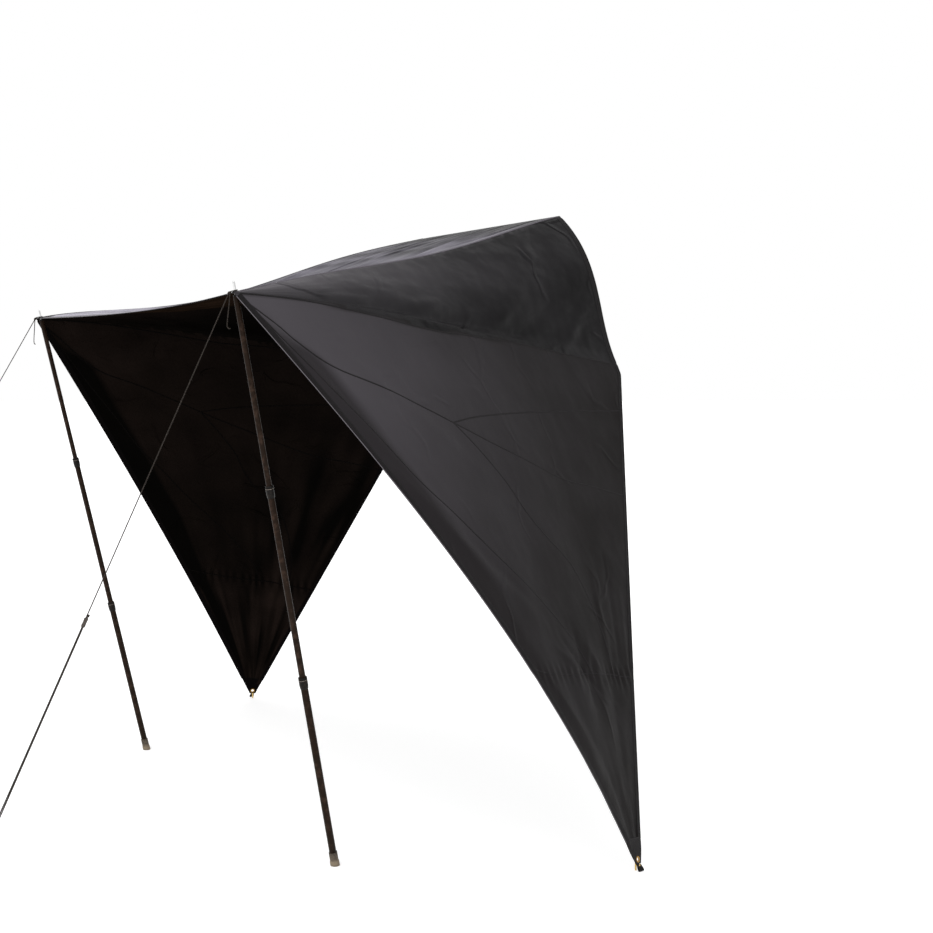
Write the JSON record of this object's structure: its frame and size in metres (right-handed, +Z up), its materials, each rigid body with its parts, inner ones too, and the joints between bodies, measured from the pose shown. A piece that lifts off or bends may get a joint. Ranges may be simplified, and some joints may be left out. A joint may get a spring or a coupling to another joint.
{
  "type": "rooftop tent awning",
  "caption": "Peaked cloth awning for a rooftop tent's end, with flared side wings pegged at their tips, telescoping corner poles and guy ropes.",
  "frame": {"origin": "on the ground, at the middle of the awning's footprint without its guy ropes", "axes": "+Z up, +Y towards the tent that the awning hangs from, +X to its right seen from the tent"},
  "size_m": [3.0984, 2.9716, 2.3746],
  "materials": {
    "canopy_cloth": "coated polyester, dull sheen",
    "webbing": "woven binding and tape, matt",
    "brass": "worn bright",
    "coated_tube": "satin brown-black coating",
    "black_plastic": "moulded, fine grain",
    "grey_plastic": "moulded grey",
    "foot_rubber": "dusty",
    "bright_steel": "bright plated",
    "rope_cord": "braided cord",
    "yellow_steel": "yellow zinc plating"
  },
  "bodies": {
    "canopy": {"roof_panel": "canopy_cloth", "gusset_right": "canopy_cloth", "gusset_left": "canopy_cloth", "wing_upper_right": "canopy_cloth", "wing_upper_left": "canopy_cloth", "wing_lower_right": "canopy_cloth", "wing_lower_left": "canopy_cloth", "roof_front_hem": "webbing", "tent_edge_tape_top": "webbing", "pole_corner_patch_right": "webbing", "pole_corner_patch_left": "webbing", "wing_front_hem_right": "webbing", "wing_front_hem_left": "webbing", "wing_rear_hem_right": "webbing", "wing_rear_hem_left": "webbing", "tent_edge_tape_right": "webbing", "tent_edge_tape_left": "webbing", "wing_tip_patch_right": "webbing", "wing_tip_patch_left": "webbing", "wing_tip_loop_right": "webbing", "wing_tip_loop_left": "webbing", "corner_grommet_right": "brass", "corner_grommet_left": "brass", "wing_tip_grommet_right": "brass", "wing_tip_grommet_left": "brass", "guy_rope_right": "rope_cord", "guy_rope_left": "rope_cord", "guy_tail_right": "rope_cord", "guy_tail_left": "rope_cord", "guy_peg_right": "yellow_steel", "guy_peg_left": "yellow_steel", "wing_peg_right": "yellow_steel", "wing_peg_left": "yellow_steel"},
    "upper_pole_right": {"spike_right": "bright_steel", "top_plug_right": "black_plastic", "upper_tube_right": "coated_tube", "upper_expander_right": "black_plastic"},
    "middle_pole_right": {"middle_tube_right": "coated_tube", "upper_collar_right": "black_plastic", "middle_expander_right": "black_plastic"},
    "lower_pole_right": {"lower_tube_right": "coated_tube", "lower_collar_right": "black_plastic", "foot_right": "foot_rubber"},
    "upper_ring_right": {"upper_lock_ring_right": "black_plastic"},
    "lower_ring_right": {"lower_lock_ring_right": "black_plastic"},
    "tensioner_right": {"tensioner_right": "grey_plastic"},
    "upper_pole_left": {"spike_left": "bright_steel", "top_plug_left": "black_plastic", "upper_tube_left": "coated_tube", "upper_expander_left": "black_plastic"},
    "middle_pole_left": {"middle_tube_left": "coated_tube", "upper_collar_left": "black_plastic", "middle_expander_left": "black_plastic"},
    "lower_pole_left": {"lower_tube_left": "coated_tube", "lower_collar_left": "black_plastic", "foot_left": "foot_rubber"},
    "upper_ring_left": {"upper_lock_ring_left": "black_plastic"},
    "lower_ring_left": {"lower_lock_ring_left": "black_plastic"},
    "tensioner_left": {"tensioner_left": "grey_plastic"}
  },
  "joints": [
    {"name": "pole_tilt_right", "type": "hinge", "parent": "canopy", "child": "upper_pole_right", "pos_m": [1.00829, -0.93112, 1.97074], "axis": [1, 0, 0], "range_deg": [-10, 20]},
    {"name": "upper_slide_right", "type": "slide", "parent": "upper_pole_right", "child": "middle_pole_right", "axis": [0.0584, -0.2032, 0.9774], "range_m": [-0.02, 0.59]},
    {"name": "lower_slide_right", "type": "slide", "parent": "middle_pole_right", "child": "lower_pole_right", "axis": [0.0584, -0.2032, 0.9774], "range_m": [-0.02, 0.57]},
    {"name": "upper_ring_turn_right", "type": "hinge", "parent": "middle_pole_right", "child": "upper_ring_right", "pos_m": [0.97065, -0.80023, 1.341], "axis": [0.0584, -0.2032, 0.9774], "range_deg": [0, 90]},
    {"name": "lower_ring_turn_right", "type": "hinge", "parent": "lower_pole_right", "child": "lower_ring_right", "pos_m": [0.93145, -0.66391, 0.68516], "axis": [0.0584, -0.2032, 0.9774], "range_deg": [0, 90]},
    {"name": "tensioner_slide_right", "type": "slide", "parent": "canopy", "child": "tensioner_right", "axis": [0.1198, -0.4709, -0.874], "range_m": [0, 0.12]},
    {"name": "pole_tilt_left", "type": "hinge", "parent": "canopy", "child": "upper_pole_left", "pos_m": [-1.00832, -0.93137, 1.97082], "axis": [1, 0, 0], "range_deg": [-10, 20]},
    {"name": "upper_slide_left", "type": "slide", "parent": "upper_pole_left", "child": "middle_pole_left", "axis": [-0.0584, -0.2033, 0.9774], "range_m": [-0.02, 0.59]},
    {"name": "lower_slide_left", "type": "slide", "parent": "middle_pole_left", "child": "lower_pole_left", "axis": [-0.0584, -0.2033, 0.9774], "range_m": [-0.02, 0.57]},
    {"name": "upper_ring_turn_left", "type": "hinge", "parent": "middle_pole_left", "child": "upper_ring_left", "pos_m": [-0.97067, -0.80038, 1.34096], "axis": [-0.0584, -0.2033, 0.9774], "range_deg": [0, 90]},
    {"name": "lower_ring_turn_left", "type": "hinge", "parent": "lower_pole_left", "child": "lower_ring_left", "pos_m": [-0.93146, -0.66399, 0.68514], "axis": [-0.0584, -0.2033, 0.9774], "range_deg": [0, 90]},
    {"name": "tensioner_slide_left", "type": "slide", "parent": "canopy", "child": "tensioner_left", "axis": [-0.1198, -0.4709, -0.874], "range_m": [0, 0.12]}
  ]
}
